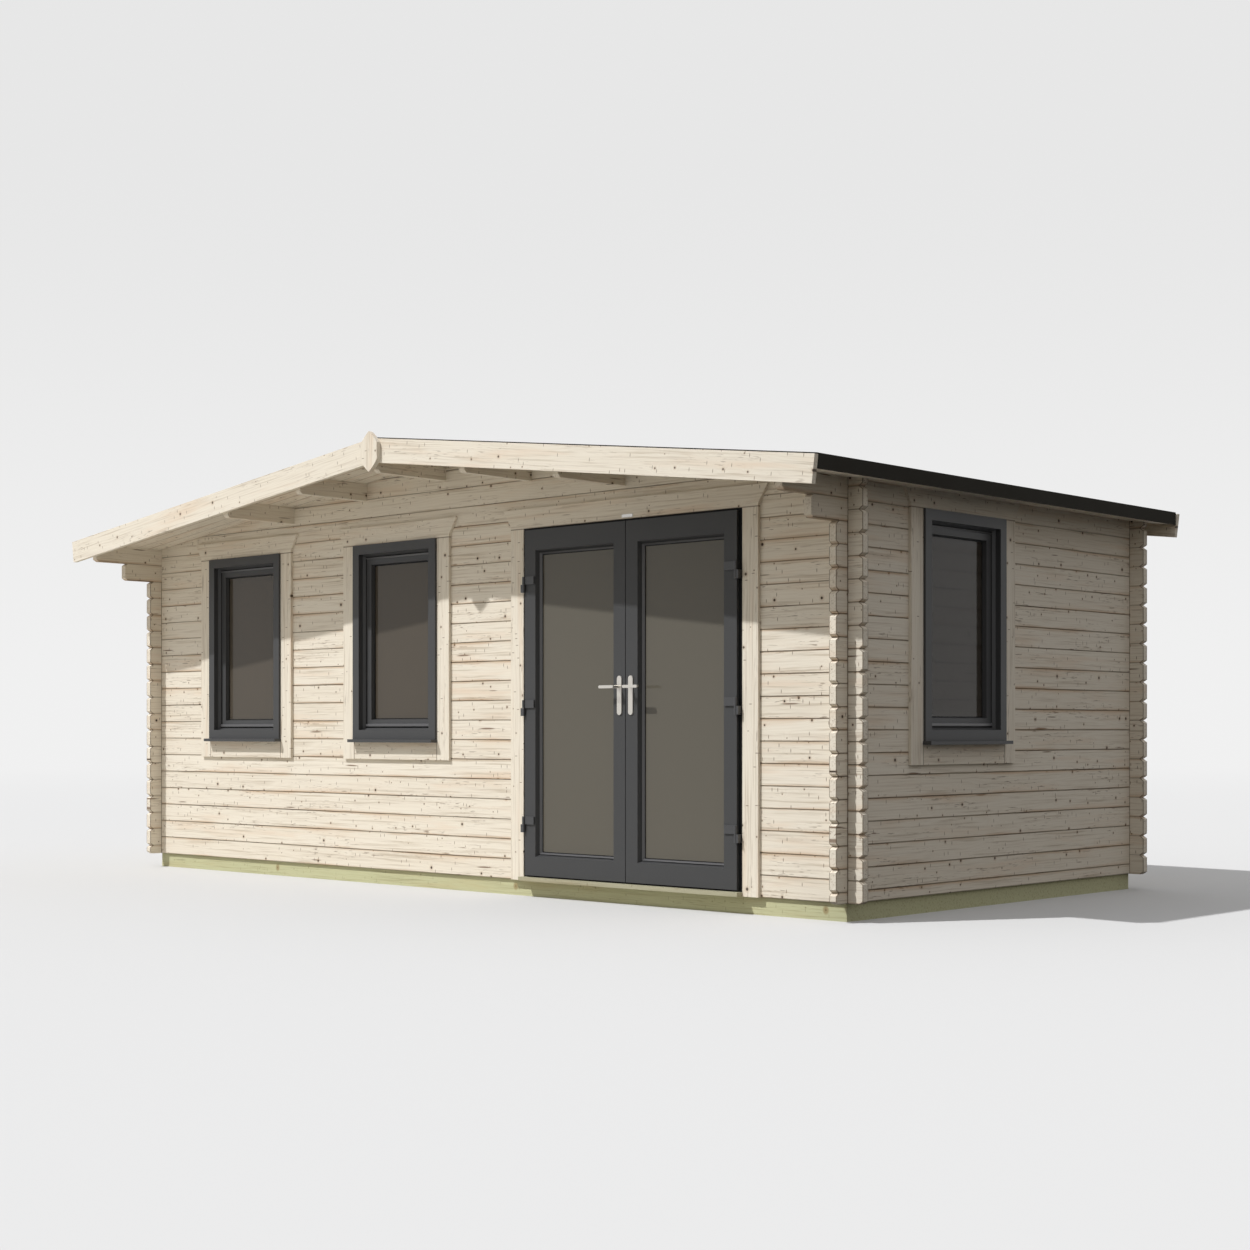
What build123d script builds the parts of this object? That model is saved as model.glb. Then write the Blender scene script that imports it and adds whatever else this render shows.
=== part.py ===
from build123d import *
from math import radians, tan
import os

# A log cabin of interlocking machined logs, with a shallow felted roof, three windows and a pair
# of glazed doors. All sizes are in millimetres. X runs along the front and Y from front to back.
# Heights count from the underside of the walls, and the finished model is lifted onto its bearers.

# Log walls
wall_length = 5950.0
wall_depth = 2838.0
log_thickness = 44.0
log_height = 114.0
front_courses = 18
log_end = 92.0
log_bevel = 5.0
end_chamfer_length = 22.0
end_chamfer_height = 15.0
log_gap = 0.4
notch_clearance = 0.4
tongue_width = 14.0
tongue_height = 6.0
groove_clearance = 0.6
corbel_reach = 292.0

# Base and floor
bearer_height = 92.0
bearer_width = 70.0
bearer_inset = 20.0
joist_width = 45.0
joist_count = 9
floor_thickness = 19.0
floor_margin = 5.0

# Roof
roof_pitch = 7.0
eaves_log_depth = 105.0
side_overhang = 205.0
front_overhang = 545.0
back_overhang = 167.0
roof_board_thickness = 20.0
insulation_thickness = 47.0
felt_thickness = 8.0
batten_width = 34.0
purlin_spacing = 729.0
purlin_depth = 103.0
ridge_purlin_depth = 129.0
purlin_thickness = 44.0
purlin_chamfer = 16.0
bargeboard_thickness = 28.0
bargeboard_above_soffit = 67.0
bargeboard_below_soffit = 73.0
bargeboard_end_play = 10.0
finial_width = 144.0
finial_height = 233.0
finial_thickness = 27.0
finial_top_above_ridge = 104.0
finial_point = 69.0
finial_bow = 3.0

# Windows
window_width = 768.0
window_height = 1200.0
window_courses_below = 7
front_window_centres = (-1942.0, -423.5)
side_window_centre = -409.0
window_proud = 32.0
window_lip_width = 58.0
window_lip_depth = 50.0
window_frame_depth = 98.0
window_frame_edge = 30.0
sash_face = 62.0
sash_bead = 4.0
sash_depth = 46.0
glass_recess = 26.0
glass_thickness = 18.0
glass_edge = 12.0
cill_thickness = 18.0
cill_reach = 70.0
cill_ear = 6.0
window_trim_width = 107.0
window_trim_below = 122.0

# Doors
door_width = 1613.0
door_centre = 1511.0
door_bottom = 22.0
door_top = 2000.0
door_frame_recess = 10.0
door_frame_depth = 70.0
door_jamb_face = 34.0
door_stop_width = 20.0
door_stop_depth = 18.0
door_clearance = 5.0
leaf_side_inset = 24.0
leaf_bottom_inset = 9.0
leaf_top_inset = 12.0
leaf_flange_depth = 18.0
leaf_depth = 70.0
leaf_stile = 86.0
leaf_top_rail = 115.0
leaf_bottom_rail = 108.0
leaf_bead = 14.0
leaf_glass_recess = 36.0
door_trim_width = 104.0
door_sill_reach = 62.0

# Trim boards
trim_thickness = 18.0
trim_gap = 1.0
head_board_height = 113.0
head_board_flare = 62.0
head_board_upright = 14.0

# Handles and hinges
handle_height = 1090.0
handle_plate_width = 33.0
handle_plate_height = 213.0
handle_plate_thickness = 6.0
handle_plate_above = 60.0
handle_from_leaf_edge = 39.0
lever_length = 109.0
lever_height = 16.0
lever_thickness = 14.0
lever_reach = 58.0
lever_neck_radius = 8.0
hinge_above_leaf_bottom = 289.0
hinge_below_leaf_top = 308.0
hinge_middle_drop = 20.0
hinge_radius = 8.0
hinge_length = 90.0
hinge_axis_before_leaf = 10.0
hinge_flag_width = 80.0
hinge_flag_thickness = 8.0
hinge_bracket_reach = 20.0
hinge_bracket_thickness = 7.0
pin_clearance = 0.4

# Fits
seat = 0.3
frame_fit = 4.0
head_gap = 4.0
overcut = 10.0

half_length = wall_length / 2
half_depth = wall_depth / 2
quarter_log = log_height / 4
side_wall_top = front_courses * log_height - log_height / 2
long_reach = half_length + log_end
long_crossings = (log_thickness / 2 - half_length, half_length - log_thickness / 2)
side_reach = half_depth + log_end
side_crossings = (log_thickness / 2 - half_depth, half_depth - log_thickness / 2)
roof_slope = tan(radians(roof_pitch))
soffit_at_wall = side_wall_top + eaves_log_depth
soffit_at_ridge = soffit_at_wall + half_length * roof_slope
roof_half_width = half_length + side_overhang
roof_thickness = roof_board_thickness + insulation_thickness + felt_thickness
front_edge = -half_depth - front_overhang
back_edge = half_depth + back_overhang
behind_front_board = front_edge + bargeboard_thickness + seat
before_back_board = back_edge - bargeboard_thickness - seat
purlin_places = (-2 * purlin_spacing, -purlin_spacing, 0.0, purlin_spacing, 2 * purlin_spacing)
window_bottom = window_courses_below * log_height
window_top = window_bottom + window_height

# Wall frames: x runs along the wall, the outer face is at y = 0 and the room is at positive y.
front_face = Location((0, -half_depth, 0))
back_face = Location((0, half_depth, 0), (0, 0, 180))
right_face = Location((half_length, 0, 0), (0, 0, 90))


def slab(x0, x1, y0, y1, z0, z1):
    middle = Pos((x0 + x1) / 2, (y0 + y1) / 2, (z0 + z1) / 2)
    return middle * Box(x1 - x0, y1 - y0, z1 - z0)


def across(points, y0, y1):
    # Upright outline of (x, z) points, made as thick as y0 to y1.
    face = make_face(Polyline(*[(x, y0, z) for x, z in points], close=True))
    return extrude(face, y1 - y0, dir=(0, 1, 0))


def along(points, x0, x1):
    # Cross-section of (y, z) points, made as long as x0 to x1.
    face = make_face(Polyline(*[(x0, y, z) for y, z in points], close=True))
    return extrude(face, x1 - x0, dir=(1, 0, 0))


def panel(border, y0, y1):
    left, right, bottom, top = border
    return slab(left, right, y0, y1, bottom, top)


def inset(border, amount):
    left, right, bottom, top = border
    return (left + amount, right - amount, bottom + amount, top - amount)


def splayed_hole(border, narrowing, y0, y1):
    # A hole that narrows from the border at y0 to the glass at y1.
    faces = []
    for edge, y in ((border, y0), (inset(border, narrowing), y1)):
        left, right, bottom, top = edge
        corners = [(left, y, bottom), (right, y, bottom), (right, y, top), (left, y, top)]
        faces.append(make_face(Polyline(*corners, close=True)))
    return loft(faces)


def mirrored(solids):
    return [mirror(solid, about=Plane.YZ) for solid in solids]


def soffit(x):
    return soffit_at_ridge - abs(x) * roof_slope


def under_roof(y0, y1):
    # Everything below the underside of the roof boards, less the seat.
    edge = roof_half_width
    outline = [(-edge, -overcut), (edge, -overcut), (edge, soffit(edge) - seat),
               (0, soffit(0) - seat), (-edge, soffit(edge) - seat)]
    return across(outline, y0, y1)


def roof_layer(x0, x1, low, high, y0, y1):
    # A layer that follows the right slope, between two heights above its underside.
    outline = [(x0, soffit(x0) + low), (x1, soffit(x1) + low),
               (x1, soffit(x1) + high), (x0, soffit(x0) + high)]
    return across(outline, y0, y1)


def key_section(base, wide, tip, peak):
    # Tapered strip in the middle of the log's thickness, for the tongue and the groove.
    middle = log_thickness / 2
    return [(middle - wide, base), (middle + wide, base), (middle + tip, peak), (middle - tip, peak)]


def log(start, end, crossings, height=log_height, grooved=True):
    # One log from z = 0, with chamfered ends, a tongue on top and a drip bevel outside. It is
    # notched top and bottom where it crosses the next wall. All but the lowest have a groove below.
    low = log_gap / 2
    high = height - log_gap / 2
    outline = [(start + end_chamfer_length, low), (end - end_chamfer_length, low),
               (end, low + end_chamfer_height), (end, high - end_chamfer_height),
               (end - end_chamfer_length, high), (start + end_chamfer_length, high),
               (start, high - end_chamfer_height), (start, low + end_chamfer_height)]
    profile = [(log_bevel, low), (log_thickness, low), (log_thickness, high), (0, high),
               (0, low + log_bevel)]
    body = along(profile, start, end) & across(outline, 0, log_thickness)
    wide = tongue_width / 2
    tip = wide - tongue_height / 3
    first, last = crossings
    body += along(key_section(high, wide, tip, high + tongue_height), first, last)
    if grooved:
        slack = groove_clearance
        peak = low + log_gap + tongue_height + slack
        body -= along(key_section(0, wide + slack, tip + slack, peak), first, last)
    reach = log_thickness / 2 + notch_clearance
    for place in crossings:
        left = place - reach
        right = place + reach
        if grooved:
            body -= slab(left, right, -overcut, log_thickness + overcut, -overcut,
                         quarter_log + notch_clearance / 2)
        body -= slab(left, right, -overcut, log_thickness + overcut,
                     height - quarter_log - notch_clearance / 2, height + overcut)
    return body


def stacked(body, courses, first_low=0.0):
    # The lower edge and body of each log, with one log repeated up the wall.
    return [(first_low + course * log_height, Pos(0, 0, first_low + course * log_height) * body)
            for course in courses]


def cut_logs(logs, openings):
    # Openings are (left, right, bottom, top) in the wall's own frame.
    pieces = []
    for low, body in logs:
        for opening in openings:
            if low - overcut < opening[3] and low + log_height + overcut > opening[2]:
                body -= panel(opening, -overcut, log_thickness + overcut)
        pieces += body.solids()
    return pieces


def window_hole(centre):
    reach = window_width / 2 + frame_fit
    return (centre - reach, centre + reach, window_bottom, window_top + head_gap)


def door_hole():
    reach = door_width / 2 + frame_fit
    return (door_centre - reach, door_centre + reach, -overcut, door_top + head_gap)


def long_wall(openings):
    body = log(-long_reach, long_reach, long_crossings)
    return cut_logs(stacked(body, range(front_courses)), openings)


def gable():
    # Courses above the wall top, cut to the roof and round the purlins.
    roof_cut = under_roof(-overcut, log_thickness + overcut)
    pieces = []
    course = front_courses
    while course * log_height < soffit_at_ridge - seat:
        body = Pos(0, 0, course * log_height) * log(-long_reach, long_reach, long_crossings)
        body &= roof_cut
        for place in purlin_places:
            half = purlin_thickness / 2 + seat
            bottom = purlin_bottom(place) - seat
            body -= slab(place - half, place + half, -overcut, log_thickness + overcut,
                         bottom, soffit_at_ridge + overcut)
        pieces += body.solids()
        course += 1
    return pieces


def purlin_bottom(place):
    depth = ridge_purlin_depth if place == 0 else purlin_depth
    return soffit(place) - depth


def side_wall(openings):
    # The lowest log is half a log high, so that the side courses lie half a log off the front ones.
    # The top one runs on past the front wall as a corbel.
    lowest = log(-side_reach, side_reach, side_crossings, log_height / 2, grooved=False)
    body = log(-side_reach, side_reach, side_crossings)
    corbel = log(-half_depth - corbel_reach, side_reach, side_crossings)
    full_courses = front_courses - 1
    logs = stacked(lowest, [0])
    logs += stacked(body, range(full_courses - 1), log_height / 2)
    logs += stacked(corbel, [full_courses - 1], log_height / 2)
    return cut_logs(logs, openings)


def right_eaves_log(openings):
    # Runs the whole depth of the roof, and is cut to its slope.
    body = log(behind_front_board, before_back_board, side_crossings)
    roof_cut = under_roof(front_edge, back_edge)
    logs = stacked(body, [0], side_wall_top)
    return [right_face * piece & roof_cut for piece in cut_logs(logs, openings)]


def purlin(place):
    bottom = purlin_bottom(place)
    half = purlin_thickness / 2
    top = soffit_at_ridge
    profile = [(behind_front_board, bottom + purlin_chamfer),
               (behind_front_board + purlin_chamfer, bottom), (before_back_board, bottom),
               (before_back_board, top), (behind_front_board, top)]
    return along(profile, place - half, place + half) & under_roof(front_edge, back_edge)


def right_bargeboard():
    # Square-cut at the eaves and plumb-cut at the ridge.
    low = -bargeboard_below_soffit
    high = bargeboard_above_soffit
    top_end = roof_half_width + bargeboard_end_play
    bottom_end = top_end - (high - low) * roof_slope
    start = seat / 2
    outline = [(start, soffit(start) + low), (bottom_end, soffit(bottom_end) + low),
               (top_end, soffit(top_end) + high), (start, soffit(start) + high)]
    return across(outline, 0, bargeboard_thickness)


def finial():
    # Six-sided plate with upright sides and slightly bowed points.
    half = finial_width / 2
    top = soffit_at_ridge + finial_top_above_ridge
    bottom = top - finial_height
    upper = top - finial_point
    lower = bottom + finial_point
    edges = [Line((half, 0, upper), (half, 0, lower)), Line((-half, 0, lower), (-half, 0, upper))]
    for side in (-half, half):
        bowed = side / 2 + finial_bow * side / half
        edges.append(ThreePointArc((0, 0, top), (bowed, 0, (top + upper) / 2 + finial_bow),
                                   (side, 0, upper)))
        edges.append(ThreePointArc((0, 0, bottom), (bowed, 0, (bottom + lower) / 2 - finial_bow),
                                   (side, 0, lower)))
    return extrude(make_face(edges), finial_thickness, dir=(0, 1, 0))


def trim_boards(centre, half_width, bottom, top, board_width, below):
    # Two uprights, a flared head board and, under a window, a bottom board.
    inner = half_width + trim_gap
    outer = inner + board_width
    back = -seat
    front = back - trim_thickness
    foot = bottom - below
    boards = [slab(centre + inner, centre + outer, front, back, foot, top),
              slab(centre - outer, centre - inner, front, back, foot, top)]
    if below > 0:
        boards.append(slab(centre - inner + seat, centre + inner - seat, front, back, foot,
                           bottom - cill_thickness - seat))
    low = top + seat
    elbow = low + head_board_upright
    high = top + head_board_height
    tip = outer + head_board_flare
    outline = [(-outer, low), (outer, low), (outer, elbow), (tip, high), (-tip, high),
               (-outer, elbow)]
    boards.append(Pos(centre, 0, 0) * across(outline, front, back))
    return boards


def window_frame(centre):
    # Welded frame with a lip in front of the sash.
    half = window_width / 2
    border = (centre - half, centre + half, window_bottom + seat, window_top)
    front = -window_proud
    back = front + window_frame_depth
    frame = panel(border, front, back)
    frame -= panel(inset(border, window_lip_width), front - overcut, back + overcut)
    frame -= panel(inset(border, window_frame_edge), front + window_lip_depth, back + overcut)
    return frame


def window_sash(centre):
    half = window_width / 2
    frame_border = (centre - half, centre + half, window_bottom + seat, window_top)
    border = inset(frame_border, window_frame_edge + seat)
    front = -window_proud + window_lip_depth + seat
    back = front + sash_depth
    opening = inset(frame_border, window_lip_width + sash_face)
    light = inset(opening, sash_bead)
    pane_front = front + glass_recess
    sash = panel(border, front, back)
    sash -= splayed_hole(opening, sash_bead, front - seat, pane_front)
    sash -= panel(light, front, back + overcut)
    sash -= panel(inset(light, -glass_edge), pane_front, pane_front + glass_thickness + 2 * seat)
    glass = panel(inset(light, seat - glass_edge), pane_front + seat,
                  pane_front + seat + glass_thickness)
    return sash, glass


def window_cill(centre):
    # The nose runs on sideways in front of the trim boards.
    half = window_width / 2
    low = window_bottom - cill_thickness
    nose = half + cill_ear
    nose_back = -trim_thickness - 2 * seat
    cill = slab(centre - half, centre + half, -cill_reach, -seat, low, window_bottom)
    return cill + slab(centre - nose, centre + nose, -cill_reach, nose_back, low, window_bottom)


def window_trim(centre):
    return trim_boards(centre, window_width / 2, window_bottom, window_top, window_trim_width,
                       window_trim_below)


door_half = door_width / 2
leaf_half = door_half - leaf_side_inset
leaf_bottom = door_bottom + leaf_bottom_inset
leaf_top = door_top - leaf_top_inset
frame_front = -door_frame_recess
leaf_front = frame_front - door_clearance - leaf_flange_depth
hinge_x = leaf_half
hinge_y = leaf_front - hinge_axis_before_leaf
lower_hinge = leaf_bottom + hinge_above_leaf_bottom
upper_hinge = leaf_top - hinge_below_leaf_top
hinge_heights = (lower_hinge, (lower_hinge + upper_hinge) / 2 - hinge_middle_drop, upper_hinge)
handle_x = door_clearance / 2 + handle_from_leaf_edge
plate_front = leaf_front - seat - handle_plate_thickness


def door_frame():
    # Welded frame with a rebate that the leaves close into from outside.
    border = (-door_half, door_half, door_bottom + seat, door_top)
    back = frame_front + door_frame_depth
    frame = panel(border, frame_front, back)
    frame -= panel(inset(border, door_jamb_face), frame_front - overcut, back - door_stop_depth)
    frame -= panel(inset(border, door_jamb_face + door_stop_width), frame_front, back + overcut)
    return frame


def right_leaf():
    # Flanged leaf: the flange laps over the frame outside, and the body closes into the rebate.
    rebate = inset((-door_half, door_half, door_bottom + seat, door_top),
                   door_jamb_face + door_clearance)
    meeting = door_clearance / 2
    flange = (meeting, leaf_half, leaf_bottom, leaf_top)
    body = (meeting, rebate[1], rebate[2], rebate[3])
    back = leaf_front + leaf_depth
    leaf = panel(flange, leaf_front, leaf_front + leaf_flange_depth)
    leaf += panel(body, leaf_front + leaf_flange_depth, back)
    opening = (meeting + leaf_stile, leaf_half - leaf_stile, leaf_bottom + leaf_bottom_rail,
               leaf_top - leaf_top_rail)
    light = inset(opening, leaf_bead)
    pane_front = leaf_front + leaf_glass_recess
    leaf -= splayed_hole(opening, leaf_bead, leaf_front - seat, pane_front)
    leaf -= panel(light, leaf_front, back + overcut)
    leaf -= panel(inset(light, -glass_edge), pane_front, pane_front + glass_thickness + 2 * seat)
    glass = panel(inset(light, seat - glass_edge), pane_front + seat,
                  pane_front + seat + glass_thickness)
    return leaf, glass


def right_handle():
    # Long plate with rounded ends, and a lever on a round neck that points away from the meeting.
    top = handle_height + handle_plate_above
    bottom = top - handle_plate_height
    length = handle_plate_height
    face = Plane((handle_x, leaf_front - seat, (top + bottom) / 2), x_dir=(0, 0, 1), z_dir=(0, -1, 0))
    plate = extrude(face * SlotOverall(length, handle_plate_width), handle_plate_thickness)
    arm_back = plate_front - lever_reach + lever_thickness
    neck_place = Plane((handle_x, plate_front - seat, handle_height), x_dir=(1, 0, 0),
                       z_dir=(0, -1, 0))
    neck_length = plate_front - seat - arm_back
    neck = extrude(neck_place * Circle(lever_neck_radius), neck_length)
    arm = extrude(neck_place.offset(neck_length)
                  * Pos((lever_length - lever_height) / 2, 0) * SlotOverall(lever_length, lever_height),
                  lever_thickness)
    return plate, neck + arm


def knuckle(height, length):
    # Round in front and flat behind, with its upper end at the height given.
    r = hinge_radius
    flat = r / 2
    edges = [ThreePointArc((-r, 0), (0, -r), (r, 0)), Line((r, 0), (r, flat)),
             Line((r, flat), (-r, flat)), Line((-r, flat), (-r, 0))]
    return Pos(hinge_x, hinge_y, height) * extrude(make_face(edges), -length)


def right_hinges():
    # Each hinge has a lower knuckle on the frame and an upper one on the leaf, round one pin line.
    leaf_parts = []
    frame_parts = []
    half = hinge_length / 2
    flag_back = leaf_front - seat
    for height in hinge_heights:
        flag = slab(hinge_x - hinge_flag_width, hinge_x, flag_back - hinge_flag_thickness,
                    flag_back, height + pin_clearance, height + half)
        leaf_parts.append(knuckle(height + half, half - pin_clearance) + flag)
        # The strap goes round the edge of the leaf and back to the frame.
        foot = height - half
        head = height - pin_clearance
        outer = hinge_x + hinge_bracket_reach
        strap_back = hinge_y + hinge_bracket_thickness / 2
        strap = slab(hinge_x, outer, strap_back - hinge_bracket_thickness, strap_back, foot, head)
        leg = slab(outer - hinge_bracket_thickness, outer, strap_back, frame_front - seat, foot, head)
        frame_parts.append(knuckle(head, half - pin_clearance) + strap + leg)
    return leaf_parts, frame_parts


def bearers():
    outer_x = half_length - bearer_inset
    outer_y = half_depth - bearer_inset
    inner_y = outer_y - bearer_width
    pieces = []
    for side in (-1, 1):
        low, high = sorted((side * outer_y, side * inner_y))
        pieces.append(slab(-outer_x, outer_x, low, high, -bearer_height, -seat))
        low, high = sorted((side * outer_x, side * (outer_x - bearer_width)))
        pieces.append(slab(low, high, -inner_y + seat, inner_y - seat, -bearer_height, -seat))
    return pieces


def joists():
    inner_x = half_length - bearer_inset - bearer_width
    inner_y = half_depth - bearer_inset - bearer_width - seat
    spacing = 2 * inner_x / (joist_count + 1)
    pieces = []
    for index in range(joist_count):
        x = -inner_x + (index + 1) * spacing
        pieces.append(slab(x - joist_width / 2, x + joist_width / 2, -inner_y, inner_y,
                           -bearer_height, -seat))
    return pieces


def floor():
    x = half_length - log_thickness - floor_margin
    y = half_depth - log_thickness - floor_margin
    return slab(-x, x, -y, y, 0, floor_thickness)


def door_sill():
    reach = door_width / 2 + trim_gap - seat
    return slab(door_centre - reach, door_centre + reach, -door_sill_reach, log_thickness,
                0, door_bottom)


pieces = {}
pieces["bearers"] = bearers()
pieces["floor_joists"] = joists()
pieces["floor_boards"] = [floor()]

front_openings = [window_hole(centre) for centre in front_window_centres] + [door_hole()]
pieces["front_wall"] = [front_face * body for body in long_wall(front_openings)]
pieces["back_wall"] = [back_face * body for body in long_wall([])]
pieces["front_gable"] = [front_face * body for body in gable()]
pieces["back_gable"] = [back_face * body for body in gable()]
side_openings = [window_hole(side_window_centre)]
pieces["right_wall"] = [right_face * body for body in side_wall(side_openings)]
pieces["right_wall"] += right_eaves_log(side_openings)
pieces["left_wall"] = mirrored([right_face * body for body in side_wall([])])
pieces["left_wall"] += mirrored(right_eaves_log([]))

pieces["purlins"] = [purlin(place) for place in purlin_places]
board_end = roof_half_width - felt_thickness - seat
batten_start = board_end - batten_width
layer_top = roof_board_thickness + insulation_thickness
boards = roof_layer(seat / 2, board_end, 0, roof_board_thickness, behind_front_board,
                    before_back_board)
eaves_batten = roof_layer(batten_start, board_end, roof_board_thickness, layer_top,
                          behind_front_board + batten_width, before_back_board - batten_width)
verge_low = roof_board_thickness
front_batten = roof_layer(seat / 2, board_end, verge_low, layer_top, behind_front_board,
                          behind_front_board + batten_width - seat)
back_batten = roof_layer(seat / 2, board_end, verge_low, layer_top,
                         before_back_board - batten_width + seat, before_back_board)
insulation = roof_layer(seat / 2, batten_start - seat, roof_board_thickness, layer_top,
                        behind_front_board + batten_width, before_back_board - batten_width)
felt = roof_layer(seat / 2, roof_half_width, layer_top, layer_top + felt_thickness,
                  behind_front_board, before_back_board)
felt += roof_layer(board_end + seat, roof_half_width, 0, layer_top, behind_front_board,
                   before_back_board)
pieces["right_roof_boards"] = [boards]
pieces["left_roof_boards"] = mirrored([boards])
pieces["roof_battens"] = [eaves_batten, front_batten, back_batten]
pieces["roof_battens"] += mirrored([eaves_batten, front_batten, back_batten])
pieces["roof_insulation"] = [insulation] + mirrored([insulation])
pieces["right_roof_felt"] = [felt]
pieces["left_roof_felt"] = mirrored([felt])

front_board = Pos(0, front_edge, 0) * right_bargeboard()
back_board = Pos(0, back_edge - bargeboard_thickness, 0) * right_bargeboard()
pieces["front_bargeboards"] = [front_board] + mirrored([front_board])
pieces["back_bargeboards"] = [back_board] + mirrored([back_board])
pieces["finials"] = [Pos(0, front_edge - seat - finial_thickness, 0) * finial(),
                     Pos(0, back_edge + seat, 0) * finial()]

windows = [("left_window", front_face, front_window_centres[0]),
           ("middle_window", front_face, front_window_centres[1]),
           ("side_window", right_face, side_window_centre)]
pieces["window_glass"] = []
pieces["window_cills"] = []
for name, face, centre in windows:
    sash, glass = window_sash(centre)
    pieces[name + "_frame"] = [face * window_frame(centre)]
    pieces[name + "_sash"] = [face * sash]
    roof_cut = under_roof(front_edge, back_edge)
    pieces[name + "_trim"] = [face * board & roof_cut for board in window_trim(centre)]
    pieces["window_glass"].append(face * glass)
    pieces["window_cills"].append(face * window_cill(centre))

doorway = front_face * Pos(door_centre, 0, 0)
leaf, leaf_glass = right_leaf()
plate, lever = right_handle()
leaf_hinges, frame_hinges = right_hinges()
pieces["door_frame"] = [doorway * door_frame()]
pieces["door_trim"] = [front_face * board for board in
                       trim_boards(door_centre, door_half, 0, door_top, door_trim_width, 0)]
pieces["door_sill"] = [front_face * door_sill()]
pieces["frame_hinges"] = [doorway * hinge for hinge in frame_hinges + mirrored(frame_hinges)]
for side, solids in (("right", lambda bodies: bodies), ("left", mirrored)):
    pieces[side + "_door"] = [doorway * body for body in solids([leaf])]
    pieces[side + "_door_glass"] = [doorway * body for body in solids([leaf_glass])]
    pieces[side + "_door_hinges"] = [doorway * body for body in solids(leaf_hinges)]
    pieces[side + "_handle_plate"] = [doorway * body for body in solids([plate])]
    pieces[side + "_lever"] = [doorway * body for body in solids([lever])]

os.makedirs("parts", exist_ok=True)
lift = Pos(0, 0, bearer_height)
for name, bodies in pieces.items():
    solids = [lift * solid for body in bodies for solid in body.solids()]
    export_step(Compound(children=solids), "parts/" + name + ".step")
    print(name, len(solids))
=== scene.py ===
import math

import bmesh
import bpy
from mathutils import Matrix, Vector


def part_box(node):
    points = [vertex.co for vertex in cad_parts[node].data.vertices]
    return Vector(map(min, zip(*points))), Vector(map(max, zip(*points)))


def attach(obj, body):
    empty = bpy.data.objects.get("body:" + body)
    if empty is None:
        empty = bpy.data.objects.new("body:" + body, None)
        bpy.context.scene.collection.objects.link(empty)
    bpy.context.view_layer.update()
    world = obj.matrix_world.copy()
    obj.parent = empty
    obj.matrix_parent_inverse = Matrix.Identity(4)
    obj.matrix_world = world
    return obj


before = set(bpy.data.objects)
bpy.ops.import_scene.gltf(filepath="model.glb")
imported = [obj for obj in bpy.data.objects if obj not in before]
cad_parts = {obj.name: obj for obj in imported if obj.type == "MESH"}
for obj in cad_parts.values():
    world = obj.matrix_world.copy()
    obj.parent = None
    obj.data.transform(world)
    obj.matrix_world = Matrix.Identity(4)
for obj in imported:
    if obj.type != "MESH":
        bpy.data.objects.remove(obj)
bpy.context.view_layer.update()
print("frame loaded")

# Camera fitted to the log seams of the photograph, and the studio round the cabin
cameraView = {
    "place": (8.8137, -9.2802, 0.9491),
    "turnLeft": 43.0236,
    "focalPixels": 1978.17,
    "horizonPixel": 729.73,
    "frameSize": 1250.0,
    "sensor": 36.0,
    "farthest": 500.0,
}
studioLook = {
    "sunDirection": (0.326, 0.572, -0.796),
    "sunStrength": 3.1,
    "sunAngle": 1.0,
    "skyOverhead": (0.68, 0.69, 0.71),
    "skyLeft": (0.60, 0.58, 0.545),
    "skyRight": (0.42, 0.39, 0.35),
    "backdropHorizon": 0.875,
    "backdropTop": 0.80,
    "backdropFade": 0.28,
    "skyTurn": (-0.3, 0.7),        # where the sky's left tone gives way to its right tone
    "skyRise": (0.15, 0.85),       # and where both give way to the tone overhead
    "floorColor": 0.60,
    "bounceFront": (0.50, 0.475, 0.425),
    "bounceRight": (0.02, 0.02, 0.02),
    "bounceEdge": (2.2, 3.2),      # along x, where the front tone gives way to the right one
    "floorReach": 160.0,
    "floorFadeStart": 9.0,
    "floorFadeEnd": 42.0,
}


def opaque(color):
    return (*color, 1.0)


def grey(level):
    return opaque((level,) * 3)


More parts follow.
